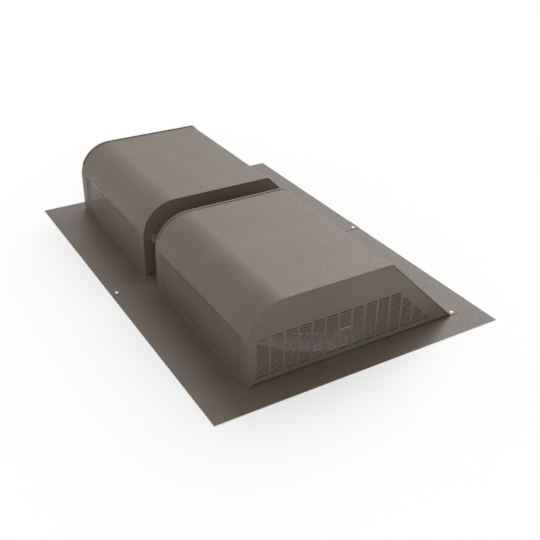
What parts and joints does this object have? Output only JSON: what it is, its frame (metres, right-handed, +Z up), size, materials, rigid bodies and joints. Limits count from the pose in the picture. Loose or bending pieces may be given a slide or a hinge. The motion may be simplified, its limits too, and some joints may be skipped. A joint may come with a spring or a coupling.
{
  "type": "slant back roof vent",
  "caption": "Side by side slant back roof vent: rounded sheet metal hoods with fine louvres on a lapped flat flashing, over round throats that let attic air out.",
  "frame": {"origin": "centre of the underside of the base flashing, on the roof deck", "axes": "+X along the pair of hoods to the right seen from the front, -Y towards the rounded louvred fronts, +Z up from the roof deck"},
  "size_m": [0.741, 0.508, 0.1339],
  "materials": {
    "hood_paint": "fine pebbled satin paint, weathered bronze",
    "flashing_paint": "fine pebbled satin paint, weathered bronze",
    "bare_metal": "bright mill finish",
    "rivet_metal": "satin"
  },
  "bodies": {
    "root": {"flashing_left": "flashing_paint", "flashing_right": "flashing_paint", "throat_collar_left": "bare_metal", "throat_collar_right": "bare_metal", "hood_left": "hood_paint", "hood_right": "hood_paint", "end_panel_left_outer": "hood_paint", "end_panel_left_inner": "hood_paint", "end_panel_right_inner": "hood_paint", "end_panel_right_outer": "hood_paint", "rivet_seam_front": "rivet_metal", "rivet_seam_back": "rivet_metal", "rivet_left_outer": "rivet_metal", "rivet_left_inner": "rivet_metal", "rivet_right_inner": "rivet_metal", "rivet_right_outer": "rivet_metal"}
  },
  "joints": []
}
